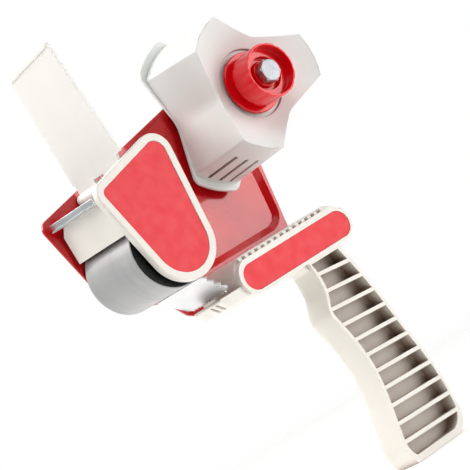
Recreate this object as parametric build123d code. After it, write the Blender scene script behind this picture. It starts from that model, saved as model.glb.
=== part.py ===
from build123d import *
import math
import os

# Hand-held dispenser for 50 mm packing tape. Millimetres.
# X runs rearward, Y from the open side to the steel side plate, Z up. The hub turns about X = Z = 0.

# ---- driving dimensions -------------------------------------------------------------------
PLATE_NEAR = 50.0            # near face of the steel side plate
PLATE_THICK = 1.5
PLATE_FAR = PLATE_NEAR + PLATE_THICK
PANEL_DEPTH = 2.0            # how far the middle panel is pressed outward
PANEL_NEAR = PLATE_NEAR + PANEL_DEPTH
PANEL_FAR = PLATE_FAR + PANEL_DEPTH

HUB_X, HUB_Z = 2.2, 1.6      # hub axis in the drawing of the frame, which is moved there at the end

ROLLER_X, ROLLER_Z = -98.8, -47.3
ROLLER_RADIUS = 21.0
SLEEVE_WALL = 3.0
ROLLER_NEAR, ROLLER_FAR = 5.5, 49.0
ROLLER_END = 1.0             # thickness of the black end discs
SLEEVE_LIP = 0.7             # rim of the sleeve left around each end disc
AXLE_BOSS = 4.6              # where the boss in the cover ends
AXLE_RADIUS = 4.0

COVER_THICK = 4.0
COVER_RIM = 4.0
INSET_DEPTH = 1.4            # recess that takes a coloured inset
INSET_PROUD = 0.4            # the inset lies this far below the rim

BEAM_FRONT, BEAM_BACK = -118.0, -100.0
BEAM_TOP, BEAM_BOTTOM = -12.9, -22.0
LIP_BOTTOM = -32.4
BEAM_WALL = 2.5

BLADE_THICK = 0.8
BLADE_TIP = -122.9
BLADE_NEAR, BLADE_FAR = 7.4, 48.4
BAR_FRONT = -121.4
BAR_TOP = -9.0
BAR_THICK = 1.0
BLADE_SCREW_X = -109.0
BLADE_SCREW_Y = (15.0, 33.0)

FLAP_X, FLAP_Z = -96.0, -6.0
FLAP_THICK = 1.5
FLAP_TOP = 67.6
FLAP_SLANT = 4.0             # the free end drops this much towards the side plate
PIN_RADIUS = 1.5
BARREL_RADIUS = 3.0
SPRING_GAP = (22.0, 31.0)    # gap in the barrel of the flap that takes the torsion spring

STOCK_NEAR = 12.0
STOCK_FRONT, STOCK_BACK = -66.0, 15.2
STOCK_TOP, STOCK_BOTTOM = -72.0, -91.0
STOCK_RIM = 3.0
STOCK_LOW_RIM = 1.8
GRIP_FAR = 32.0
GRIP_WALL = 1.9
GRIP_FLOOR = 3.6             # wall at the bottom of the grip
WEB_NEAR, WEB_FAR = 21.2, 23.2
RIB_COUNT = 11
RIB_THICK = 2.0
RIB_PITCH = 9.34

HUB_LENGTH = 45.0
HUB_RADIUS = 38.1
HUB_FAR_RADIUS = 40.6
LOBE_HALF = 18.2
LOBE_ANGLES = (116.0, -4.0, -124.0)
WAIST_RADIUS = 24.4
FLANGE_RADIUS = 44.6
FLANGE_HALF = 16.6
FLANGE_FAR = 47.0
DISH_DEPTH = 8.5
DISH_RADIUS = 18.6
WELL_RADIUS = 9.6
TUBE_RADIUS = 5.0
RUN_GAP = 0.05               # radial gap of the running fits

BOLT_RADIUS = 3.175          # quarter-inch bolt
BOLT_HEX = 6.42
KNOB_NEAR = -10.6
KNOB_RADIUS = 14.3
KNOB_SKIRT = 16.4


# ---- helpers ------------------------------------------------------------------------------
def side_plane(y):
    """Plane seen from the open side: its x is X and its y is Z."""
    return Plane(origin=(0, y, 0), x_dir=(1, 0, 0), z_dir=(0, -1, 0))


def side_slab(face, near, far):
    """A face drawn in X and Z, made solid from Y = near to Y = far."""
    return extrude(side_plane(far) * face, amount=far - near)


def rod(x, z, radius, near, far):
    return side_slab(Pos(x, z) * Circle(radius), near, far)


def ring(x, z, outer, inner, near, far):
    return side_slab(Pos(x, z) * (Circle(outer) - Circle(inner)), near, far)


def hexagon(x, z, radius, near, far, turn=0.0):
    return side_slab(Pos(x, z) * RegularPolygon(radius, 6, rotation=turn), near, far)


def block(x0, x1, y0, y1, z0, z1):
    middle = Pos((x0 + x1) / 2, (y0 + y1) / 2, (z0 + z1) / 2)
    return middle * Box(x1 - x0, y1 - y0, z1 - z0)


def post(x, y, radius, z0, z1):
    return Pos(x, y, (z0 + z1) / 2) * Cylinder(radius, z1 - z0)


def polygon(points):
    """Face with sharp corners."""
    return make_face(Polyline(*points, close=True))


def rounded(corners):
    """Face with rounded corners; every corner is (x, z, radius)."""
    edges = []
    starts, ends, middles = [], [], []
    count = len(corners)
    for i, (x, z, radius) in enumerate(corners):
        corner = Vector(x, z)
        before = (Vector(*corners[i - 1][:2]) - corner).normalized()
        after = (Vector(*corners[(i + 1) % count][:2]) - corner).normalized()
        half = before.get_angle(after) / 2
        reach = radius / math.tan(math.radians(half))
        bisector = (before + after).normalized()
        centre = corner + bisector * (radius / math.sin(math.radians(half)))
        starts.append(corner + before * reach)
        ends.append(corner + after * reach)
        middles.append(centre - bisector * radius)
    for i in range(count):
        edges.append(ThreePointArc(starts[i], middles[i], ends[i]))
        edges.append(Line(ends[i], starts[(i + 1) % count]))
    return make_face(edges)


def stadium(x0, x1, z0, z1):
    """Slot-shaped face with half-round ends."""
    radius = (z1 - z0) / 2
    edges = [
        Line((x0 + radius, z0), (x1 - radius, z0)),
        ThreePointArc((x1 - radius, z0), (x1, z0 + radius), (x1 - radius, z1)),
        Line((x1 - radius, z1), (x0 + radius, z1)),
        ThreePointArc((x0 + radius, z1), (x0, z0 + radius), (x0 + radius, z0)),
    ]
    return make_face(edges)


def save(name, shape):
    """One STEP file for each node, with every separate solid in it."""
    solids = list(shape.solids())
    part = Compound(label=name, children=solids) if len(solids) > 1 else solids[0]
    part.label = name
    export_step(part, "parts/" + name + ".step")


# ---- side plate ---------------------------------------------------------------------------
PLATE_CORNERS = [
    (-126.0, -6.6, 5.0),
    (24.2, 23.8, 4.0),
    (5.0, -89.0, 5.0),
    (-62.0, -89.0, 4.0),
    (-76.0, -82.0, 5.0),
    (-84.0, -70.0, 8.0),
    (-112.2, -64.0, 14.0),
]
PANEL_OUTER = [
    (-70.0, -30.0, 9.0),
    (14.6, -13.2, 9.0),
    (7.2, -68.0, 11.0),
    (-66.0, -68.0, 9.0),
]
PANEL_INNER = [
    (-66.2, -32.8, 5.5),
    (10.4, -17.6, 5.5),
    (4.0, -64.8, 7.5),
    (-62.8, -64.8, 5.5),
]
HANDLE_SCREWS = [(-48.0, -80.5), (-26.0, -80.5), (-4.0, -80.5)]
COVER_SCREWS = [(-111.0, -18.6), (-103.6, -18.6)]
COMB_RIVETS = [(-76.2, -74.4), (-70.0, -76.0)]
SCREW_RADIUS = 1.9


def panel_prism(near, far, outer, inner):
    """Solid with sloping sides between a large near face and a smaller far face."""
    big = side_plane(near) * rounded(outer)
    small = side_plane(far) * rounded(inner)
    return loft([big, small], ruled=True)


def make_side_frame():
    plate = side_slab(rounded(PLATE_CORNERS), PLATE_NEAR, PLATE_FAR)
    plate += panel_prism(PLATE_FAR, PANEL_FAR, PANEL_OUTER, PANEL_INNER)
    plate -= panel_prism(PLATE_NEAR, PANEL_NEAR, PANEL_OUTER, PANEL_INNER)
    plate -= rod(HUB_X, HUB_Z, BOLT_RADIUS, PLATE_NEAR - 1, PLATE_FAR + 1)
    plate -= rod(ROLLER_X, ROLLER_Z, AXLE_RADIUS, PLATE_NEAR - 1, PLATE_FAR + 1)
    plate -= rod(FLAP_X, FLAP_Z, PIN_RADIUS, PLATE_NEAR - 1, PLATE_FAR + 1)
    for x, z in HANDLE_SCREWS + COVER_SCREWS:
        plate -= rod(x, z, SCREW_RADIUS, PLATE_NEAR - 1, PLATE_FAR + 1)
    for x, z in COMB_RIVETS:
        plate -= rod(x, z, 1.6, PLATE_NEAR - 1, PLATE_FAR + 1)
    return plate


def side_screw(x, z, depth):
    """Pan-head screw put in from the outside of the plate."""
    shank = rod(x, z, SCREW_RADIUS, PLATE_NEAR - depth, PLATE_FAR)
    head = rod(x, z, 3.9, PLATE_FAR, PLATE_FAR + 2.4)
    head = fillet(head.edges().group_by(Axis.Y)[-1], 1.0)
    slot_a = block(x - 2.1, x + 2.1, PLATE_FAR + 1.3, PLATE_FAR + 3, z - 0.45, z + 0.45)
    slot_b = block(x - 0.45, x + 0.45, PLATE_FAR + 1.3, PLATE_FAR + 3, z - 2.1, z + 2.1)
    return shank + head - slot_a - slot_b


# ---- handle: stock, grip and nose in one moulding -------------------------------------------
GRIP_FRONT_EDGE = [
    (-24.6, -86.0), (-23.4, -101.0), (-25.2, -110.0), (-28.4, -117.5), (-27.4, -124.0),
    (-25.2, -134.0), (-23.4, -148.0), (-24.6, -162.0), (-28.0, -177.0), (-31.6, -191.0),
]
GRIP_REAR_EDGE = [
    (-0.8, -86.0), (3.0, -107.0), (6.6, -126.0), (9.2, -145.5), (11.2, -157.0),
    (12.4, -167.0), (12.9, -177.0), (12.2, -188.0),
]
GRIP_BOTTOM = -204.3


def grip_face(wall, top, bottom):
    """Side outline of the grip, drawn in by wall on both long edges."""
    front = [(x + wall, z) for x, z in GRIP_FRONT_EDGE]
    rear = [(x - wall, z) for x, z in GRIP_REAR_EDGE]
    front[0] = (front[0][0], top)
    rear[0] = (rear[0][0], top)
    front_corner = (front[-1][0] + 2.2, bottom)
    rear_corner = (rear[-1][0] - 9.0, bottom)
    edges = [
        Spline(*front),
        ThreePointArc(front[-1], (front[-1][0] + 0.2, bottom + 3.6), front_corner),
        Line(front_corner, rear_corner),
        ThreePointArc(rear_corner, (rear[-1][0] - 2.6, bottom + 4.6), rear[-1]),
        Spline(*rear),
        Line(rear[0], front[0]),
    ]
    return make_face(edges)


def grip_layer(wall):
    return grip_face(wall, -84.0, GRIP_BOTTOM + wall)


def grip_ribs():
    ribs = []
    for i in range(RIB_COUNT):
        middle = -99.1 - RIB_PITCH * i
        slope = -0.095 + 0.006 * i
        low, high = middle - RIB_THICK / 2, middle + RIB_THICK / 2
        ribs.append(side_slab(polygon([
            (-40, low - 29 * slope), (18, low + 29 * slope),
            (18, high + 29 * slope), (-40, high - 29 * slope),
        ]), STOCK_NEAR - 1, GRIP_FAR + 1))
    return ribs


def make_handle():
    stock = side_slab(stadium(STOCK_FRONT, STOCK_BACK, STOCK_BOTTOM, STOCK_TOP), STOCK_NEAR, PLATE_NEAR)
    stock += side_slab(
        stadium(STOCK_FRONT + 0.6, STOCK_BACK - 0.6, STOCK_BOTTOM + 0.2, STOCK_TOP + 2.2),
        STOCK_NEAR + 4, PLATE_NEAR)

    # the far edges of the grip are drawn in twice, which rounds them
    grip = side_slab(grip_layer(0), STOCK_NEAR, GRIP_FAR - 3.4)
    grip += loft([side_plane(GRIP_FAR - 3.4) * grip_layer(0), side_plane(GRIP_FAR - 1.1) * grip_layer(0.9)], ruled=True)
    grip += loft([side_plane(GRIP_FAR - 1.1) * grip_layer(0.9), side_plane(GRIP_FAR) * grip_layer(2.4)], ruled=True)
    body = stock + grip

    # concave gusset between the underside of the stock and the front of the grip
    gusset = polygon([(-29.0, -90.0), (-22.0, -90.0), (-22.0, -98.6)])
    gusset -= Pos(-29.6, -98.0) * Circle(7.0)
    body += side_slab(gusset, STOCK_NEAR + 2.5, GRIP_FAR - 3)

    pocket = grip_face(GRIP_WALL, -92.2, GRIP_BOTTOM + GRIP_FLOOR)
    cells = side_slab(pocket, STOCK_NEAR - 1, WEB_NEAR) + side_slab(pocket, WEB_FAR, GRIP_FAR + 1)
    for rib in grip_ribs():
        cells -= rib
    body -= cells

    # recess for the inset in the near side of the stock
    body -= side_slab(inset_face(), STOCK_NEAR - 1, STOCK_NEAR + INSET_DEPTH)

    # hollow stock, open towards the plate, with a boss around every screw
    hollow = side_slab(
        stadium(STOCK_FRONT + 3.2, STOCK_BACK - 3.2, STOCK_BOTTOM + 2.8, STOCK_TOP - 0.4),
        STOCK_NEAR + 4.4, PLATE_NEAR + 1)
    for x, z in HANDLE_SCREWS:
        hollow -= rod(x, z, 4.6, STOCK_NEAR, PLATE_NEAR)
        hollow -= block(x - 0.9, x + 0.9, STOCK_NEAR, PLATE_NEAR - 2, STOCK_BOTTOM, STOCK_TOP + 3)
    body -= hollow
    for x, z in HANDLE_SCREWS:
        body -= rod(x, z, SCREW_RADIUS, PLATE_NEAR - 16, PLATE_NEAR + 1)

    # small upright teeth along the near top edge
    for i in range(14):
        x = STOCK_FRONT + 7.4 + 4.7 * i
        body += block(x - 1.1, x + 1.1, STOCK_NEAR + 1.2, STOCK_NEAR + 4.6, STOCK_TOP - 1.5, STOCK_TOP + 1.5)

    # nose that reaches forward under the tape comb
    nose = side_slab(rounded([(-83.4, -82.8, 0.8), (-58.0, -82.8, 0.8), (-58.0, -88.6, 1.0), (-77.4, -88.6, 1.2)]),
                     STOCK_NEAR + 2, STOCK_NEAR + 26)
    for y in (STOCK_NEAR + 6.0, STOCK_NEAR + 11.0):
        nose -= block(-86.0, -69.0, y, y + 2.4, -91.0, -84.4)
    body += nose - side_slab(stadium(STOCK_FRONT + 3, STOCK_BACK - 3, STOCK_BOTTOM + 2, STOCK_TOP),
                             STOCK_NEAR, PLATE_NEAR)
    return body


def inset_face():
    return stadium(STOCK_FRONT + 2.4, STOCK_BACK - STOCK_LOW_RIM,
                   STOCK_BOTTOM + STOCK_LOW_RIM, STOCK_TOP - STOCK_RIM)


def make_stock_inset():
    return side_slab(inset_face(), STOCK_NEAR + INSET_PROUD, STOCK_NEAR + INSET_DEPTH)


# ---- front cover --------------------------------------------------------------------------
COVER_INSET = [
    (-119.2, -9.2, 3.4),
    (-71.8, 2.5, 6.2),
    (-87.5, -145.0, 16.2),
]


def cover_inset_face():
    return rounded(COVER_INSET)


def make_front_cover():
    inset = cover_inset_face()
    cover = side_slab(offset(inset, COVER_RIM), 0, COVER_THICK)
    cover = fillet(cover.faces().sort_by(Axis.Y)[0].edges(), 0.6)
    cover -= side_slab(inset, -1, INSET_DEPTH)

    # cross beam: an upside-down channel with a deeper front lip
    beam = block(BEAM_FRONT, BEAM_BACK, COVER_THICK, PLATE_NEAR - 2, BEAM_BOTTOM, BEAM_TOP)
    beam -= block(BEAM_FRONT + BEAM_WALL, BEAM_BACK - BEAM_WALL, COVER_THICK, PLATE_NEAR - 5,
                  BEAM_BOTTOM - 1, BEAM_TOP - BEAM_WALL)
    lip = block(BEAM_FRONT, BEAM_FRONT + BEAM_WALL, COVER_THICK, PLATE_NEAR - 2, LIP_BOTTOM, BEAM_TOP)
    beam += lip
    corner = Plane.YZ.offset(BEAM_FRONT - 1) * polygon([(42.5, BEAM_TOP + 1), (49.0, BEAM_TOP + 1), (49.0, -18.5)])
    beam -= extrude(corner, amount=4.5)
    for x, z in COVER_SCREWS:
        beam += rod(x, z, 3.3, 34, PLATE_NEAR)
    for y in BLADE_SCREW_Y:
        beam += post(BLADE_SCREW_X, y, 3.4, BEAM_BOTTOM, BEAM_TOP)
    for x, z in COVER_SCREWS:
        beam -= rod(x, z, SCREW_RADIUS, PLATE_NEAR - 12, PLATE_NEAR + 1)
    cover += beam
    for y in BLADE_SCREW_Y:
        cover -= post(BLADE_SCREW_X, y, 1.4, BEAM_TOP - 8, BEAM_TOP + 1)

    # boss that carries the near end of the axle, and a small one for the flap pin
    cover += rod(ROLLER_X, ROLLER_Z, 8.0, COVER_THICK - 1, AXLE_BOSS)
    cover -= rod(ROLLER_X, ROLLER_Z, AXLE_RADIUS, 2.6, 8.0)
    cover -= rod(FLAP_X, FLAP_Z, PIN_RADIUS, 2.6, COVER_THICK + 1)
    return cover


def make_cover_inset():
    return side_slab(cover_inset_face(), INSET_PROUD, INSET_DEPTH)


# ---- blade and the steel bar over it --------------------------------------------------------
TOOTH_PITCH = 2.4
TOOTH_DEPTH = 1.5


def make_blade():
    teeth = [(BLADE_TIP + 4.0 - 2.5, BLADE_NEAR), (BLADE_TIP + TOOTH_DEPTH, BLADE_NEAR)]
    count = int((BLADE_FAR - BLADE_NEAR) / TOOTH_PITCH)
    for i in range(count):
        y = BLADE_NEAR + TOOTH_PITCH * i
        teeth.append((BLADE_TIP, y + TOOTH_PITCH / 2))
        teeth.append((BLADE_TIP + TOOTH_DEPTH, y + TOOTH_PITCH))
    teeth += [(BLADE_TIP + TOOTH_DEPTH, BLADE_FAR), (-103.0, BLADE_FAR), (-103.0, BLADE_NEAR)]
    blade = extrude(Plane.XY.offset(BEAM_TOP) * polygon(teeth[1:]), amount=BLADE_THICK)
    for y in BLADE_SCREW_Y:
        blade -= post(BLADE_SCREW_X, y, 1.4, BEAM_TOP - 1, BEAM_TOP + 2)
    return blade


def make_blade_bar():
    """Steel strip folded up along its front edge; it clamps the foot of the blade."""
    foot = BEAM_TOP + BLADE_THICK
    bar = block(BAR_FRONT, -104.0, BLADE_NEAR, BLADE_FAR, foot, foot + BAR_THICK)
    bar += block(BAR_FRONT, BAR_FRONT + BAR_THICK, BLADE_NEAR, BLADE_FAR, foot, BAR_TOP)
    for y in BLADE_SCREW_Y:
        bar -= post(BLADE_SCREW_X, y, 1.4, foot - 1, foot + 3)
    return bar


def make_blade_screws():
    screws = []
    foot = BEAM_TOP + BLADE_THICK + BAR_THICK
    for y in BLADE_SCREW_Y:
        shank = post(BLADE_SCREW_X, y, 1.4, BEAM_TOP - 6.5, foot)
        head = post(BLADE_SCREW_X, y, 2.8, foot, foot + 1.8)
        head = fillet(head.edges().group_by(Axis.Z)[-1], 0.7)
        slot = block(BLADE_SCREW_X - 3, BLADE_SCREW_X + 3, y - 0.35, y + 0.35, foot + 1.0, foot + 3)
        screws.append(shank + head - slot)
    return Compound(children=screws)


# ---- wiper flap -----------------------------------------------------------------------------
def make_flap():
    back = FLAP_X - FLAP_THICK / 2
    tongue = Plane.YZ.offset(back) * rounded([
        (0.4, 3.8, 0.8), (6.4, FLAP_TOP, 1.5), (48.6, FLAP_TOP - FLAP_SLANT, 1.5), (48.6, 2.4, 0.8),
        (47.4, 1.8, 0.2), (47.4, FLAP_Z, 0.2), (4.8, FLAP_Z, 0.2), (4.8, 3.2, 0.2),
    ])
    flap = extrude(tongue, amount=FLAP_THICK)
    # a thin bead along the free end and two stiffening ribs low on the back
    drop = FLAP_SLANT / 42.2
    bead = polygon([(7.9, FLAP_TOP - 1.0), (47.1, FLAP_TOP - 1.0 - 39.2 * drop),
                    (47.1, FLAP_TOP - 2.4 - 39.2 * drop), (7.9, FLAP_TOP - 2.4)])
    flap += extrude(Plane.YZ.offset(back - 0.5) * bead, amount=0.6)
    for y in (14.0, 39.0):
        flap += side_slab(polygon([(FLAP_X, -5.0), (FLAP_X + 3.4, -4.0), (FLAP_X, 16.0)]), y - 0.8, y + 0.8)
    flap += rod(FLAP_X, FLAP_Z, BARREL_RADIUS, 4.8, 49.2)
    flap -= rod(FLAP_X, FLAP_Z, PIN_RADIUS + RUN_GAP, 0, 50)
    flap -= block(FLAP_X - 4, FLAP_X + 4, SPRING_GAP[0], SPRING_GAP[1], FLAP_Z - 4, FLAP_Z + 5.2)
    return flap


def make_flap_pin():
    pin = rod(FLAP_X, FLAP_Z, PIN_RADIUS, 2.6, PLATE_FAR)
    pin += rod(FLAP_X, FLAP_Z, 2.7, PLATE_FAR, PLATE_FAR + 1.2)
    return pin


def make_flap_spring():
    """Torsion spring around the pin: one leg behind the flap, one on top of the beam."""
    wire = 0.45
    coil_radius = 2.6
    near, far = SPRING_GAP[0] + 1.6, SPRING_GAP[1] - 1.6
    turns = 5
    path = Helix(pitch=(far - near) / turns, height=far - near, radius=coil_radius)
    start = path @ 0
    section = Plane(origin=start, z_dir=path % 0) * Circle(wire)
    coil = sweep(section, path=path, is_frenet=True)
    coil = Pos(FLAP_X, near, FLAP_Z) * Rot(-90, 0, 0) * coil
    low = FLAP_Z + 0.6
    leg = Pos(FLAP_X + coil_radius, far, (low + 9.6) / 2) * Cylinder(wire, 9.6 - low)
    tip = Pos(FLAP_X + coil_radius - 0.65, far, 9.4) * Rot(0, 90, 0) * Cylinder(wire, 2.2)
    foot = Pos(FLAP_X - 3.8, near, FLAP_Z - coil_radius - 0.8) * Rot(0, 79, 0) * Cylinder(wire, 8.4)
    return coil + leg + tip + foot


# ---- roller -----------------------------------------------------------------------------------
def make_sleeve():
    sleeve = ring(ROLLER_X, ROLLER_Z, ROLLER_RADIUS, ROLLER_RADIUS - SLEEVE_WALL, ROLLER_NEAR, ROLLER_FAR)
    for near, far in ((ROLLER_NEAR - 1, ROLLER_NEAR + ROLLER_END), (ROLLER_FAR - ROLLER_END, ROLLER_FAR + 1)):
        sleeve -= rod(ROLLER_X, ROLLER_Z, ROLLER_RADIUS - SLEEVE_LIP, near, far)
    return sleeve


def make_core():
    inner = ROLLER_RADIUS - SLEEVE_WALL
    near_end, far_end = ROLLER_NEAR + 0.1, ROLLER_FAR - 0.1
    core = rod(ROLLER_X, ROLLER_Z, inner, near_end, far_end)
    for near, far in ((near_end, ROLLER_NEAR + ROLLER_END), (ROLLER_FAR - ROLLER_END, far_end)):
        core += rod(ROLLER_X, ROLLER_Z, ROLLER_RADIUS - SLEEVE_LIP, near, far)
    # pockets in both ends between the hub, the rim and six spokes
    for near, far in ((near_end, near_end + 18), (far_end - 18, far_end)):
        pocket = ring(ROLLER_X, ROLLER_Z, inner - 2.4, 7.6, near, far)
        for i in range(6):
            spoke = side_slab(Pos(ROLLER_X, ROLLER_Z) * Rot(0, 0, 60 * i) * Pos(11, 0) * Rectangle(14, 1.8), near, far)
            pocket -= spoke
        core -= pocket
    core -= rod(ROLLER_X, ROLLER_Z, AXLE_RADIUS + RUN_GAP, 0, PLATE_NEAR)
    return core


def make_axle():
    axle = rod(ROLLER_X, ROLLER_Z, AXLE_RADIUS, 2.6, PLATE_FAR + 7.2)
    return chamfer(axle.edges().group_by(Axis.Y)[-1], 0.6)


def make_axle_washers():
    near = ring(ROLLER_X, ROLLER_Z, 7.0, AXLE_RADIUS, AXLE_BOSS, ROLLER_NEAR - 0.3)
    far = ring(ROLLER_X, ROLLER_Z, 7.0, AXLE_RADIUS, ROLLER_FAR + 0.4, PLATE_NEAR)
    return Compound(children=[near, far])


def make_axle_nut():
    nut = hexagon(ROLLER_X, ROLLER_Z, 7.5, PLATE_FAR, PLATE_FAR + 6.0, 15)
    nut = chamfer(nut.edges().group_by(Axis.Y)[-1], 0.5)
    return nut - rod(ROLLER_X, ROLLER_Z, AXLE_RADIUS, PLATE_NEAR, PLATE_FAR + 9)


# ---- tape comb behind the roller ----------------------------------------------------------------
COMB_FRONT, COMB_HIGH = -88.4, -68.0     # upper edge, next to the roller
COMB_BACK, COMB_LOW = -74.6, -79.6       # lower edge, with the teeth
COMB_THICK = 1.0
COMB_NEAR = 8.0
COMB_SLANT = 4.0             # the near edge slants by this much towards the teeth
COMB_PITCH = 3.0


def make_comb():
    """Sloping steel strip with saw teeth that stops the tape from running back."""
    far = PLATE_NEAR - 1.2
    run, drop = COMB_BACK - COMB_FRONT, COMB_LOW - COMB_HIGH
    width = math.hypot(run, drop)
    slope = Plane(origin=(COMB_FRONT, 0, COMB_HIGH), x_dir=(run, 0, drop), z_dir=(drop, 0, -run))
    # local x runs down the slope, local y runs towards the open side
    low = -COMB_NEAR - COMB_SLANT
    profile = [(0, -far), (width, -far)]
    count = int((far + low - 1.0) / COMB_PITCH)
    for i in range(count):
        y = -far + COMB_PITCH * i
        profile += [(width + 2.0, y + COMB_PITCH * 0.75), (width, y + COMB_PITCH)]
    # jagged near edge, from the teeth up to the top edge
    for i in range(4):
        x = width * (1 - i / 4)
        y = low + COMB_SLANT * i / 4
        profile += [(x, y - 1.2), (x - 1.6, y + 1.8)]
    profile.append((0, low + COMB_SLANT - 0.6))
    comb = extrude(slope * polygon(profile), amount=COMB_THICK)
    # folded tab that is riveted to the side plate
    under_x, under_z = COMB_THICK * drop / width, -COMB_THICK * run / width
    tab = polygon([(COMB_FRONT + under_x, COMB_HIGH + under_z), (COMB_FRONT, COMB_HIGH), (-77.6, -70.0),
                   (-66.8, -72.4), (-66.8, -79.6), (COMB_BACK + under_x, COMB_LOW + under_z)])
    comb += side_slab(tab, far, PLATE_NEAR)
    for x, z in COMB_RIVETS:
        comb -= rod(x, z, 1.6, far - 2, PLATE_NEAR + 1)
    return comb


def make_comb_rivets():
    rivets = []
    near = PLATE_NEAR - 1.2
    for x, z in COMB_RIVETS:
        rivet = rod(x, z, 1.6, near, PLATE_FAR)
        rivet += rod(x, z, 2.7, near - 1.0, near)
        rivet += rod(x, z, 2.7, PLATE_FAR, PLATE_FAR + 1.0)
        rivets.append(rivet)
    return Compound(children=rivets)


# ---- hub --------------------------------------------------------------------------------------
def lobe_section(radius, waist, half=LOBE_HALF, soft=2.0):
    """Three-lobed outline: flat flanks, rounded creases, lobe ends on one circle."""
    points = []
    for angle in sorted(LOBE_ANGLES):
        for side in (-1, 1):
            crease = Vector(waist, 0).rotate(Axis.Z, angle + side * 60.0)
            corner = Vector(radius, 0).rotate(Axis.Z, angle + side * half)
            points.append(crease + (corner - crease) * 1.3)
        points.append(Vector(waist, 0).rotate(Axis.Z, angle + 60.0))
    outline = polygon(points)
    creases = outline.vertices().sort_by_distance((0, 0, 0))[:3]
    outline = fillet(creases, 17.0 * radius / HUB_RADIUS)
    outline = outline & Circle(radius)
    corners = outline.vertices().sort_by_distance((0, 0, 0))[-6:]
    return fillet(corners, soft).face()


def make_drum():
    near = side_plane(0) * lobe_section(HUB_RADIUS, WAIST_RADIUS)
    far = side_plane(HUB_LENGTH) * lobe_section(HUB_FAR_RADIUS, WAIST_RADIUS + 0.6)
    drum = loft([near, far], ruled=True)

    # dished near end with a shallow ring recess and a well for the brake spring
    dish = Plane.XY * polygon([
        (0, -1), (HUB_RADIUS + 2.2, -1), (DISH_RADIUS, DISH_DEPTH), (DISH_RADIUS, 10.0),
        (WELL_RADIUS, 10.0), (WELL_RADIUS, 24.0), (0, 24.0),
    ])
    drum -= revolve(dish, Axis.Y)

    cavity = side_slab(lobe_section(HUB_RADIUS - 2.6, WAIST_RADIUS - 2.2), 12.8, HUB_LENGTH + 1)
    cavity -= rod(0, 0, WELL_RADIUS + 2.4, 12.0, 26.4)
    cavity -= rod(0, 0, TUBE_RADIUS + 2.6, 12.0, HUB_LENGTH + 1)
    for angle in LOBE_ANGLES:
        web = Rot(0, 0, angle) * Pos(19, 0) * Rectangle(34, 2.0)
        cavity -= side_slab(web, 12.0, HUB_LENGTH + 1)
    drum -= cavity
    drum -= rod(0, 0, TUBE_RADIUS + RUN_GAP, 20, HUB_LENGTH + 1)

    # three long grooves in the outside of the two lower lobes
    for angle in LOBE_ANGLES[1:]:
        for step in (-9.0, 0.0, 9.0):
            groove = Rot(0, 0, angle + step) * Pos(HUB_RADIUS + 1.2, 0) * Rectangle(4.4, 1.7)
            drum -= side_slab(groove, 16.0, HUB_LENGTH - 1.5)
    return drum


def make_hub_flange():
    """End plate of the drum; its lobes stand out a little and stop the core."""
    flange = side_slab(lobe_section(FLANGE_RADIUS, WAIST_RADIUS + 0.6, FLANGE_HALF, 5.0), HUB_LENGTH, FLANGE_FAR)
    return flange - rod(0, 0, TUBE_RADIUS + 0.6, HUB_LENGTH - 1, FLANGE_FAR + 1)


def make_thrust_washer():
    return ring(0, 0, 9.2, TUBE_RADIUS + 0.5, 22.8, 24.0)


def make_bolt():
    head = hexagon(0, 0, BOLT_HEX, KNOB_NEAR + 0.3, KNOB_NEAR + 4.7, 37.8)
    cone = rod(0, 0, BOLT_HEX - 0.45, KNOB_NEAR + 0.3, KNOB_NEAR + 4.7)
    cone = chamfer(cone.edges().group_by(Axis.Y)[0], 0.5)
    head = head & (cone + rod(0, 0, BOLT_HEX + 1, KNOB_NEAR + 0.9, KNOB_NEAR + 4.7))
    shank = rod(0, 0, BOLT_RADIUS, KNOB_NEAR + 4.0, PLATE_FAR + 8.6)
    return head + shank


def make_spindle_tube():
    return ring(0, 0, TUBE_RADIUS, BOLT_RADIUS, 26.0, PLATE_NEAR)


def make_spacer():
    return ring(0, 0, 12.0, TUBE_RADIUS, 49.0, PLATE_NEAR)


def make_friction_washer():
    return ring(0, 0, 14.0, TUBE_RADIUS, FLANGE_FAR + 0.4, 49.0)


def make_knob():
    flange_near = 7.0
    cup_floor = -5.4
    cup = Circle(KNOB_RADIUS)
    for i in range(12):
        cup -= Rot(0, 0, 30 * i + 12) * Pos(KNOB_RADIUS + 4.7, 0) * Circle(5.0)
    knob = side_slab(cup, KNOB_NEAR, 3.4)
    knob += rod(0, 0, 11.2, 3.0, flange_near)
    skirt = rod(0, 0, KNOB_SKIRT, flange_near, 9.0)
    knob += fillet(skirt.edges().group_by(Axis.Y)[0], 0.6)
    # thin-walled cup; the bolt head sits on a boss inside a ring groove
    knob -= rod(0, 0, KNOB_RADIUS - 1.2, KNOB_NEAR - 1, cup_floor)
    knob -= ring(0, 0, 8.8, 7.0, cup_floor - 1, -2.4)
    # spring seat in the back
    knob -= ring(0, 0, 8.6, 4.6, 4.0, 10.0)
    knob -= rod(0, 0, BOLT_RADIUS + RUN_GAP, KNOB_NEAR - 1, 10)
    knob -= rod(0, 0, 4.7, 7.4, 10.0)
    return knob


def make_brake_spring():
    wire = 0.7
    radius = 6.9
    near, far = 4.8, 21.7
    path = Helix(pitch=(far - near) / 6, height=far - near, radius=radius)
    section = Plane(origin=path @ 0, z_dir=path % 0) * Circle(wire)
    coil = sweep(section, path=path, is_frenet=True)
    return Pos(0, near, 0) * Rot(-90, 0, 0) * coil


def make_lock_washer():
    return ring(0, 0, 8.0, BOLT_RADIUS, PLATE_FAR, PLATE_FAR + 1.2)


def make_lock_nut():
    near = PLATE_FAR + 1.2
    nut = hexagon(0, 0, BOLT_HEX, near, near + 4.6, 10)
    nut += rod(0, 0, 4.8, near + 4.6, near + 6.4)
    return nut - rod(0, 0, BOLT_RADIUS, near - 1, near + 9)


# ---- all parts --------------------------------------------------------------------------------
os.makedirs("parts", exist_ok=True)

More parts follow.
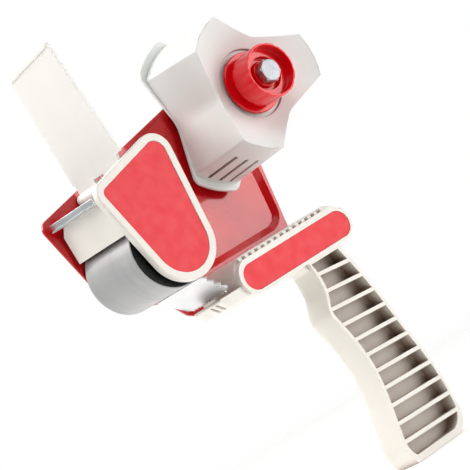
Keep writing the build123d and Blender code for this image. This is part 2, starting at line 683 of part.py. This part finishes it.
# the frame and all it carries are moved, so that the hub turns about X = Z = 0
FRAME_PLACE = Pos(-HUB_X, 0, -HUB_Z)

save("side_frame", FRAME_PLACE * make_side_frame())
save("handle", FRAME_PLACE * make_handle())
save("stock_inset", FRAME_PLACE * make_stock_inset())
save("handle_screws", FRAME_PLACE * Compound(children=[side_screw(x, z, 15) for x, z in HANDLE_SCREWS]))
save("front_cover", FRAME_PLACE * make_front_cover())
save("front_cover_inset", FRAME_PLACE * make_cover_inset())
save("cover_screws", FRAME_PLACE * Compound(children=[side_screw(x, z, 11) for x, z in COVER_SCREWS]))
save("cutting_blade", FRAME_PLACE * make_blade())
save("blade_bar", FRAME_PLACE * make_blade_bar())
save("blade_screws", FRAME_PLACE * make_blade_screws())
save("wiper_flap", FRAME_PLACE * make_flap())
save("flap_pin", FRAME_PLACE * make_flap_pin())
save("flap_spring", FRAME_PLACE * make_flap_spring())
save("roller_sleeve", FRAME_PLACE * make_sleeve())
save("roller_core", FRAME_PLACE * make_core())
save("roller_axle", FRAME_PLACE * make_axle())
save("axle_washers", FRAME_PLACE * make_axle_washers())
save("axle_nut", FRAME_PLACE * make_axle_nut())
save("tape_comb", FRAME_PLACE * make_comb())
save("comb_rivets", FRAME_PLACE * make_comb_rivets())

save("hub_drum", make_drum())
save("hub_flange", make_hub_flange())
save("thrust_washer", make_thrust_washer())
save("hub_bolt", make_bolt())
save("spindle_tube", make_spindle_tube())
save("spindle_spacer", make_spacer())
save("friction_washer", make_friction_washer())
save("tension_knob", make_knob())
save("brake_spring", make_brake_spring())
save("lock_washer", make_lock_washer())
save("lock_nut", make_lock_nut())
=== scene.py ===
import math

import bpy
from mathutils import Matrix, Vector


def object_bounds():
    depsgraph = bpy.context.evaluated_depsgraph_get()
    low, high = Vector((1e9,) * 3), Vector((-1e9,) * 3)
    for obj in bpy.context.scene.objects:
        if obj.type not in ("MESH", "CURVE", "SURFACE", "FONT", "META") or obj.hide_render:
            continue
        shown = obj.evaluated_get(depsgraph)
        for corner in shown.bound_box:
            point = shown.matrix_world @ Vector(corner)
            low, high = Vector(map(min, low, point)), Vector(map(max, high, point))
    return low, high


# Hand-held dispenser for 50 mm packing tape. Metres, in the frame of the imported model:
# X runs rearward, Y from the open side to the steel plate, Z up, and the hub turns about X = Z = 0.
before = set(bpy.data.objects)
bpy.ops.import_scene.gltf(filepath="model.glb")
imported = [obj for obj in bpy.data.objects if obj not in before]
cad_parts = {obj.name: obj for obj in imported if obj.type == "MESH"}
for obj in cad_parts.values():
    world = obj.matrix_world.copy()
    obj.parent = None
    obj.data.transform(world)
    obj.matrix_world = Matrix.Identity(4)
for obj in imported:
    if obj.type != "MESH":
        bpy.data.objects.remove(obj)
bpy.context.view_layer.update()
scene = bpy.context.scene


# ---- camera, stage and light ----------------------------------------------------------------
VIEW = Vector((0.616, 0.788, 0.0)).normalized()      # direction the camera looks in
RIGHT = Vector((VIEW.y, -VIEW.x, 0.0))
UP = Vector((0.0, 0.0, 1.0))
ROLL = math.radians(31.3)                            # the object lies turned in the picture
AIM = Vector((-0.0659, 0.0, -0.0612))
DISTANCE = 1.4
LENS = 220.0
FLOOR_RADIUS = 0.9
FLOOR_SIDES = 96
FLOOR_GAP = 0.0002                                   # below the lowest point of the object


def make_camera():
    data = bpy.data.cameras.new("camera")
    data.lens = LENS
    data.sensor_width = 36.0
    data.clip_end = 50.0
    camera = bpy.data.objects.new("camera", data)
    scene.collection.objects.link(camera)
    across = RIGHT * math.cos(ROLL) - UP * math.sin(ROLL)
    upward = RIGHT * math.sin(ROLL) + UP * math.cos(ROLL)
    turn = Matrix((across, upward, -VIEW)).transposed()
    camera.matrix_world = Matrix.Translation(AIM - VIEW * DISTANCE) @ turn.to_4x4()
    scene.camera = camera


def soft_box(name, across, up, front, distance, size, power, colour):
    """Rectangular area light that faces the middle of the object, placed by the camera's directions."""
    towards = (RIGHT * across + UP * up - VIEW * front).normalized()
    data = bpy.data.lights.new(name, "AREA")
    data.shape = "RECTANGLE"
    data.size, data.size_y = size
    data.energy = power
    data.color = colour
    light = bpy.data.objects.new(name, data)
    scene.collection.objects.link(light)
    light.location = AIM + towards * distance
    light.rotation_euler = towards.to_track_quat("Z", "Y").to_euler()
    light.visible_camera = False


def make_world():
    """White to the camera; otherwise bright behind the object and dim in front of it."""
    world = bpy.data.worlds.new("studio")
    world.use_nodes = True
    scene.world = world
    tree = world.node_tree
    tree.nodes.clear()
    output = tree.nodes.new("ShaderNodeOutputWorld")
    seen = tree.nodes.new("ShaderNodeBackground")
    seen.inputs["Color"].default_value = (1.0, 1.0, 1.0, 1.0)
    seen.inputs["Strength"].default_value = 1.0
    coords = tree.nodes.new("ShaderNodeTexCoord")
    depth = tree.nodes.new("ShaderNodeVectorMath")
    depth.operation = "DOT_PRODUCT"
    depth.inputs[1].default_value = VIEW
    side = tree.nodes.new("ShaderNodeValToRGB")
    side.color_ramp.elements[0].position = 0.45
    side.color_ramp.elements[0].color = (0.035, 0.032, 0.029, 1.0)
    side.color_ramp.elements[1].position = 0.82
    side.color_ramp.elements[1].color = (0.95, 0.94, 0.92, 1.0)
    half = tree.nodes.new("ShaderNodeMapRange")
    half.inputs["From Min"].default_value = -1.0
    ambient = tree.nodes.new("ShaderNodeBackground")
    path = tree.nodes.new("ShaderNodeLightPath")
    mix = tree.nodes.new("ShaderNodeMixShader")
    tree.links.new(coords.outputs["Generated"], depth.inputs[0])
    tree.links.new(depth.outputs["Value"], half.inputs["Value"])
    tree.links.new(half.outputs["Result"], side.inputs["Fac"])
    tree.links.new(side.outputs["Color"], ambient.inputs["Color"])
    tree.links.new(path.outputs["Is Camera Ray"], mix.inputs["Fac"])
    tree.links.new(ambient.outputs["Background"], mix.inputs[1])
    tree.links.new(seen.outputs["Background"], mix.inputs[2])
    tree.links.new(mix.outputs["Shader"], output.inputs["Surface"])


def make_floor():
    """Pale disc under the object that fades out into the white surroundings."""
    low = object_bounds()[0][2] - FLOOR_GAP
    mesh = bpy.data.meshes.new("floor")
    angles = [2 * math.pi * i / FLOOR_SIDES for i in range(FLOOR_SIDES)]
    ring_points = [(FLOOR_RADIUS * math.cos(a), FLOOR_RADIUS * math.sin(a), low) for a in angles]
    mesh.from_pydata(ring_points, [], [tuple(range(FLOOR_SIDES))])
    floor = bpy.data.objects.new("floor", mesh)
    scene.collection.objects.link(floor)
    material = bpy.data.materials.new("floor_paper")
    material.use_nodes = True
    tree = material.node_tree
    tree.nodes.clear()
    output = tree.nodes.new("ShaderNodeOutputMaterial")
    coords = tree.nodes.new("ShaderNodeTexCoord")
    length = tree.nodes.new("ShaderNodeVectorMath")
    length.operation = "LENGTH"
    fade = tree.nodes.new("ShaderNodeMapRange")
    fade.interpolation_type = "SMOOTHSTEP"
    fade.inputs["From Min"].default_value = 0.30
    fade.inputs["From Max"].default_value = 0.85
    paper = tree.nodes.new("ShaderNodeBsdfDiffuse")
    paper.inputs["Color"].default_value = (0.93, 0.93, 0.92, 1.0)
    clear = tree.nodes.new("ShaderNodeBsdfTransparent")
    glow = tree.nodes.new("ShaderNodeEmission")
    glow.inputs["Strength"].default_value = 0.30
    lit = tree.nodes.new("ShaderNodeAddShader")
    mix = tree.nodes.new("ShaderNodeMixShader")
    tree.links.new(paper.outputs["BSDF"], lit.inputs[0])
    tree.links.new(glow.outputs["Emission"], lit.inputs[1])
    tree.links.new(coords.outputs["Object"], length.inputs[0])
    tree.links.new(length.outputs["Value"], fade.inputs["Value"])
    tree.links.new(fade.outputs["Result"], mix.inputs["Fac"])
    tree.links.new(lit.outputs["Shader"], mix.inputs[1])
    tree.links.new(clear.outputs["BSDF"], mix.inputs[2])
    tree.links.new(mix.outputs["Shader"], output.inputs["Surface"])
    mesh.materials.append(material)


make_camera()
make_world()
make_floor()
soft_box("key", 0.97, 0.04, 0.24, 1.3, (0.75, 0.9), 10.0, (1.0, 0.985, 0.97))
soft_box("top", 0.25, 1.0, 0.55, 1.1, (0.7, 0.7), 5.0, (1.0, 0.99, 0.97))
soft_box("side", -0.75, 0.75, -0.30, 0.7, (0.4, 0.4), 3.3, (1.0, 0.98, 0.95))
soft_box("front", -0.80, 0.62, 0.42, 0.5, (0.3, 0.3), 0.85, (1.0, 0.99, 0.97))
scene.view_settings.view_transform = "Standard"


# ---- materials --------------------------------------------------------------------------------
class Finish:
    """One node material, built up from a base colour, patterns and fine relief."""

    def __init__(self, name, colour, roughness, metallic=0.0):
        self.material = bpy.data.materials.new(name)
        self.material.use_nodes = True
        self.tree = self.material.node_tree
        self.tree.nodes.clear()
        output = self.node("ShaderNodeOutputMaterial")
        self.shader = self.node("ShaderNodeBsdfPrincipled")
        self.join(self.shader.outputs["BSDF"], output.inputs["Surface"])
        self.coords = self.node("ShaderNodeTexCoord").outputs["Object"]
        self.set("Base Color", (*colour, 1.0))
        self.set("Roughness", roughness)
        self.set("Metallic", metallic)
        self.colour = None
        self.base = colour
        self.relief = None

    def node(self, kind):
        return self.tree.nodes.new(kind)

    def join(self, a, b):
        self.tree.links.new(a, b)

    def set(self, socket, value):
        self.shader.inputs[socket].default_value = value

    def noise(self, scale, detail=3.0, rough=0.5, stretch=(1.0, 1.0, 1.0)):
        """Grey noise of about 1 / scale metres; stretch makes it longer along an axis."""
        place = self.node("ShaderNodeMapping")
        place.inputs["Scale"].default_value = tuple(1.0 / s for s in stretch)
        self.join(self.coords, place.inputs["Vector"])
        noise = self.node("ShaderNodeTexNoise")
        noise.inputs["Scale"].default_value = scale
        noise.inputs["Detail"].default_value = detail
        noise.inputs["Roughness"].default_value = rough
        self.join(place.outputs["Vector"], noise.inputs["Vector"])
        return noise.outputs["Fac"]

    def span(self, value, low, high, out_low=0.0, out_high=1.0):
        """Maps the part of a value between low and high to another range."""
        ranged = self.node("ShaderNodeMapRange")
        ranged.inputs["From Min"].default_value = low
        ranged.inputs["From Max"].default_value = high
        ranged.inputs["To Min"].default_value = out_low
        ranged.inputs["To Max"].default_value = out_high
        self.join(value, ranged.inputs["Value"])
        return ranged.outputs["Result"]

    def times(self, a, b):
        product = self.node("ShaderNodeMath")
        product.operation = "MULTIPLY"
        self.join(a, product.inputs[0])
        self.join(b, product.inputs[1])
        return product.outputs["Value"]

    def tint(self, mask, colour):
        """Lays a colour over what is there where the mask is high."""
        mix = self.node("ShaderNodeMix")
        mix.data_type = "RGBA"
        self.join(mask, mix.inputs[0])
        if self.colour is None:
            mix.inputs[6].default_value = (*self.base, 1.0)
        else:
            self.join(self.colour, mix.inputs[6])
        mix.inputs[7].default_value = (*colour, 1.0)
        self.colour = mix.outputs[2]
        self.join(self.colour, self.shader.inputs["Base Color"])
        return self

    def rough(self, value, low, high):
        self.join(self.span(value, 0.3, 0.7, low, high), self.shader.inputs["Roughness"])
        return self

    def bump(self, height, depth, strength=1.0):
        """Relief of about depth metres."""
        bump = self.node("ShaderNodeBump")
        bump.inputs["Strength"].default_value = strength
        bump.inputs["Distance"].default_value = depth
        self.join(height, bump.inputs["Height"])
        if self.relief is not None:
            self.join(self.relief, bump.inputs["Normal"])
        self.relief = bump.outputs["Normal"]
        self.join(self.relief, self.shader.inputs["Normal"])
        return self

    def edges(self, radius=0.0006):
        """Mask that is high on outer edges and corners."""
        soft = self.node("ShaderNodeBevel")
        soft.samples = 12
        soft.inputs["Radius"].default_value = radius
        here = self.node("ShaderNodeNewGeometry")
        turn = self.node("ShaderNodeVectorMath")
        turn.operation = "DOT_PRODUCT"
        self.join(soft.outputs["Normal"], turn.inputs[0])
        self.join(here.outputs["Normal"], turn.inputs[1])
        return self.span(turn.outputs["Value"], 0.995, 0.90)

    def recess_shade_mask(self, reach):
        """Painted-shade mask: high deep inside grooves and pockets narrower than reach metres, where
        shade falls.
        """
        open_sky = self.node("ShaderNodeAmbientOcclusion")
        open_sky.samples = 8
        open_sky.inputs["Distance"].default_value = reach
        return self.span(open_sky.outputs["AO"], 0.44, 0.06)

    def scratches(self, stretch, scale=260.0):
        """Mask of sparse thin lines that run along one axis."""
        lines = self.span(self.noise(scale, 2.0, 0.6, stretch), 0.63, 0.70)
        patches = self.span(self.noise(38.0, 2.0), 0.48, 0.62)
        return self.times(lines, patches)


# Painted shade for moulded plastic: pockets narrower than the reach are darkened, and the deepest keep
# only this share of each colour.
RECESS_SHADE_REACH = 0.016                       # pockets narrower than this are darkened
RECESS_SHADE_TINT = (0.34, 0.20, 0.13)           # share of each colour left in the deepest recesses


def moulded(name, colour, shade, light, roughness):
    """Satin moulded plastic: faint flow marks, fine grain, lighter rubbed edges, and painted shade in
    deep pockets and grooves.
    """
    finish = Finish(name, colour, roughness)
    finish.set("Specular IOR Level", 0.45)
    finish.tint(finish.span(finish.noise(34.0, 4.0, 0.6, (1.0, 1.0, 2.2)), 0.42, 0.68, 0.0, 0.75), shade)
    finish.tint(finish.times(finish.edges(), finish.span(finish.noise(210.0), 0.35, 0.6)), light)
    # Painted shade: deep pockets and grooves are darkened towards brown, standing in for the shadow that
    # falls in them.
    finish.tint(finish.recess_shade_mask(RECESS_SHADE_REACH), tuple(c * d for c, d in zip(shade, RECESS_SHADE_TINT)))
    finish.rough(finish.noise(95.0, 5.0, 0.65), roughness - 0.05, roughness + 0.08)
    finish.bump(finish.noise(24.0, 1.0), 0.00030, 0.35)
    finish.bump(finish.noise(1500.0, 2.0), 0.000006, 0.4)
    finish.bump(finish.scratches((1.0, 9.0, 26.0)), 0.000010, 0.5)
    return finish.material


def glossy_red(name, colour, deep, roughness, peel, coat):
    """Glossy red paint or plastic under a clear layer, with a slight orange peel and a few scuffs."""
    finish = Finish(name, colour, roughness)
    finish.set("Specular IOR Level", 0.25)
    finish.set("Coat Weight", coat)
    finish.set("Coat Roughness", 0.04)
    finish.set("Coat IOR", 1.5)
    finish.tint(finish.span(finish.noise(55.0, 4.0, 0.6), 0.40, 0.70, 0.0, 0.8), deep)
    finish.rough(finish.noise(130.0, 4.0), roughness - 0.04, roughness + 0.08)
    finish.bump(finish.noise(420.0, 2.0), peel, 0.7)
    finish.bump(finish.scratches((18.0, 1.0, 5.0)), 0.000006, 0.6)
    return finish.material


def satin_film(name, colour, deep, pale):
    """Coloured inset with a fine pebble grain and slightly paler rubbed edges."""
    finish = Finish(name, colour, 0.42)
    finish.set("Specular IOR Level", 0.35)
    finish.tint(finish.span(finish.noise(48.0, 4.0), 0.40, 0.70, 0.0, 0.35), deep)
    finish.tint(finish.times(finish.edges(0.0004), finish.span(finish.noise(300.0), 0.35, 0.65)), pale)
    finish.rough(finish.noise(160.0, 4.0), 0.36, 0.52)
    finish.bump(finish.noise(1900.0, 2.0), 0.000018, 0.6)
    return finish.material


def brushed(name, colour, dull, roughness, stretch, wear, metallic=1.0):
    """Drawn or ground steel with lines along one axis and slightly duller patches."""
    finish = Finish(name, colour, roughness, metallic)
    finish.tint(finish.span(finish.noise(75.0, 4.0, 0.6), 0.42, 0.68), dull)
    lines = finish.noise(700.0, 3.0, 0.6, stretch)
    finish.rough(lines, roughness - 0.07, roughness + 0.12)
    finish.bump(lines, 0.000005, 0.45)
    finish.bump(finish.scratches((3.0, 16.0, 3.0), 420.0), wear, 0.6)
    return finish.material


def plated(name, colour, dull, roughness):
    """Zinc-plated fastener: cloudy, slightly uneven plating with bright rubbed corners."""
    finish = Finish(name, colour, roughness, 1.0)
    finish.tint(finish.span(finish.noise(420.0, 4.0, 0.6), 0.42, 0.66), dull)
    finish.tint(finish.edges(0.0003), (0.93, 0.94, 0.95))
    finish.rough(finish.noise(900.0, 3.0), roughness - 0.06, roughness + 0.12)
    finish.bump(finish.noise(1500.0, 2.0), 0.000010, 0.5)
    return finish.material


def sleeve_skin(name):
    """Satin grey sleeve, faintly banded around its length, with dusty rub marks."""
    finish = Finish(name, (0.40, 0.405, 0.415), 0.36)
    finish.set("Specular IOR Level", 0.5)
    bands = finish.noise(120.0, 4.0, 0.6, (9.0, 1.0, 9.0))
    finish.tint(finish.span(bands, 0.40, 0.68, 0.0, 0.7), (0.34, 0.345, 0.36))
    finish.tint(finish.span(finish.noise(46.0, 5.0, 0.7), 0.56, 0.74, 0.0, 0.5), (0.50, 0.50, 0.50))
    finish.rough(finish.noise(150.0, 4.0, 0.6), 0.30, 0.46)
    finish.bump(finish.noise(900.0, 2.0, 0.5, (8.0, 1.0, 8.0)), 0.000010, 0.6)
    finish.bump(finish.noise(2400.0, 2.0), 0.000008, 0.5)
    return finish.material


def black_moulding(name):
    """Matt black plastic with a little dust in it."""
    finish = Finish(name, (0.007, 0.007, 0.008), 0.55)
    finish.set("Specular IOR Level", 0.25)
    finish.tint(finish.span(finish.noise(240.0, 5.0, 0.7), 0.56, 0.75, 0.0, 0.5), (0.03, 0.03, 0.03))
    finish.rough(finish.noise(180.0, 3.0), 0.42, 0.6)
    finish.bump(finish.noise(2200.0, 2.0), 0.000014, 0.6)
    return finish.material


def pressed_fibre(name):
    """Brown fibre washer with short mixed fibres."""
    finish = Finish(name, (0.13, 0.055, 0.025), 0.75)
    finish.tint(finish.span(finish.noise(1300.0, 4.0, 0.7), 0.45, 0.65), (0.22, 0.11, 0.05))
    finish.rough(finish.noise(900.0, 3.0), 0.66, 0.86)
    finish.bump(finish.noise(1800.0, 3.0, 0.7), 0.000030, 0.8)
    return finish.material


MATERIALS = {
    "frame_paint": glossy_red("frame_paint", (0.62, 0.006, 0.010), (0.50, 0.003, 0.006), 0.22,
                              0.000010, 0.75),
    "cream_plastic": moulded("cream_plastic", (0.84, 0.81, 0.76), (0.80, 0.77, 0.71),
                             (0.90, 0.88, 0.84), 0.40),
    "hub_plastic": moulded("hub_plastic", (0.81, 0.84, 0.83), (0.78, 0.80, 0.79),
                           (0.90, 0.88, 0.84), 0.42),
    "flap_plastic": moulded("flap_plastic", (0.89, 0.88, 0.85), (0.86, 0.84, 0.80),
                            (0.92, 0.90, 0.86), 0.34),
    "red_inset": satin_film("red_inset", (0.80, 0.024, 0.036), (0.74, 0.020, 0.030),
                            (0.86, 0.20, 0.21)),
    "knob_red": glossy_red("knob_red", (0.84, 0.003, 0.010), (0.74, 0.002, 0.007), 0.18, 0.000006,
                           0.5),
    "zinc": plated("zinc", (0.50, 0.52, 0.55), (0.42, 0.44, 0.47), 0.58),
    "blade_steel": brushed("blade_steel", (0.80, 0.81, 0.83), (0.74, 0.76, 0.78), 0.42,
                           (12.0, 1.0, 1.0), 0.000003, 0.6),
    "bar_steel": brushed("bar_steel", (0.72, 0.77, 0.80), (0.64, 0.69, 0.72), 0.34,
                         (1.0, 14.0, 1.0), 0.000012),
    "spring_steel": brushed("spring_steel", (0.50, 0.51, 0.53), (0.40, 0.41, 0.43), 0.30,
                            (1.0, 3.0, 1.0), 0.000006),
    "grey_sleeve": sleeve_skin("grey_sleeve"),
    "black_plastic": black_moulding("black_plastic"),
    "fibre": pressed_fibre("fibre"),
}


# ---- finer shape on the CAD nodes ---------------------------------------------------------------
def finish_node(node, material, edge, angle=34.0, merge_flats=True):
    """Gives a CAD node its material and rounds its sharp edges by edge metres.

    Flat faces are merged first, except on nodes where a large flat face with many holes
    would come out folded. An edge of 0 leaves the shape as it is, for round wire.
    """
    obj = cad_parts[node]
    for place in obj.material_slots:
        place.material = MATERIALS[material]
    weld = obj.modifiers.new("weld", "WELD")
    weld.merge_threshold = 0.000002
    if merge_flats:
        flat = obj.modifiers.new("flat", "DECIMATE")
        flat.decimate_type = "DISSOLVE"
        flat.angle_limit = math.radians(0.3)
    if edge > 0:
        bevel = obj.modifiers.new("round", "BEVEL")
        bevel.width = edge
        bevel.segments = 3
        bevel.limit_method = "ANGLE"
        bevel.angle_limit = math.radians(angle)
        bevel.use_clamp_overlap = False
    smooth = obj.modifiers.new("smooth", "WEIGHTED_NORMAL")
    smooth.weight = 60
    smooth.keep_sharp = False


NODE_FINISHES = [
    ("side_frame", "frame_paint", 0.0002, 20.0, False),
    ("handle", "cream_plastic", 0.000125, 34.0, False),
    ("stock_inset", "red_inset", 0.0003),
    ("handle_screws", "zinc", 0.0001),
    ("front_cover", "cream_plastic", 0.0002, 34.0, False),
    ("front_cover_inset", "red_inset", 0.0003),
    ("cover_screws", "zinc", 0.0001),
    ("cutting_blade", "blade_steel", 0.00006),
    ("blade_bar", "bar_steel", 0.0002),
    ("blade_screws", "zinc", 0.00005),
    ("flap_pin", "zinc", 0.0001),
    ("roller_axle", "zinc", 0.0002),
    ("axle_washers", "zinc", 0.0001),
    ("axle_nut", "zinc", 0.0002),
    ("tape_comb", "blade_steel", 0.0001),
    ("comb_rivets", "zinc", 0.0002),
    ("hub_bolt", "zinc", 0.0001, 34.0, False),
    ("spindle_tube", "zinc", 0.0002),
    ("spindle_spacer", "zinc", 0.0001),
    ("friction_washer", "fibre", 0.0001),
    ("lock_washer", "zinc", 0.0001),
    ("lock_nut", "zinc", 0.0002),
    ("roller_sleeve", "grey_sleeve", 0.0005),
    ("roller_core", "black_plastic", 0.0002, 34.0, False),
    ("hub_drum", "hub_plastic", 0.00025),
    ("hub_flange", "hub_plastic", 0.0004),
    ("thrust_washer", "zinc", 0.0001),
    ("tension_knob", "knob_red", 0.0004),
    ("brake_spring", "spring_steel", 0.0, 34.0, False),
    ("wiper_flap", "flap_plastic", 0.00015),
    ("flap_spring", "spring_steel", 0.0, 34.0, False),
]
for entry in NODE_FINISHES:
    finish_node(*entry)


# ---- refresh the scene after the modifiers --------------------------------------------------------
bpy.context.view_layer.update()
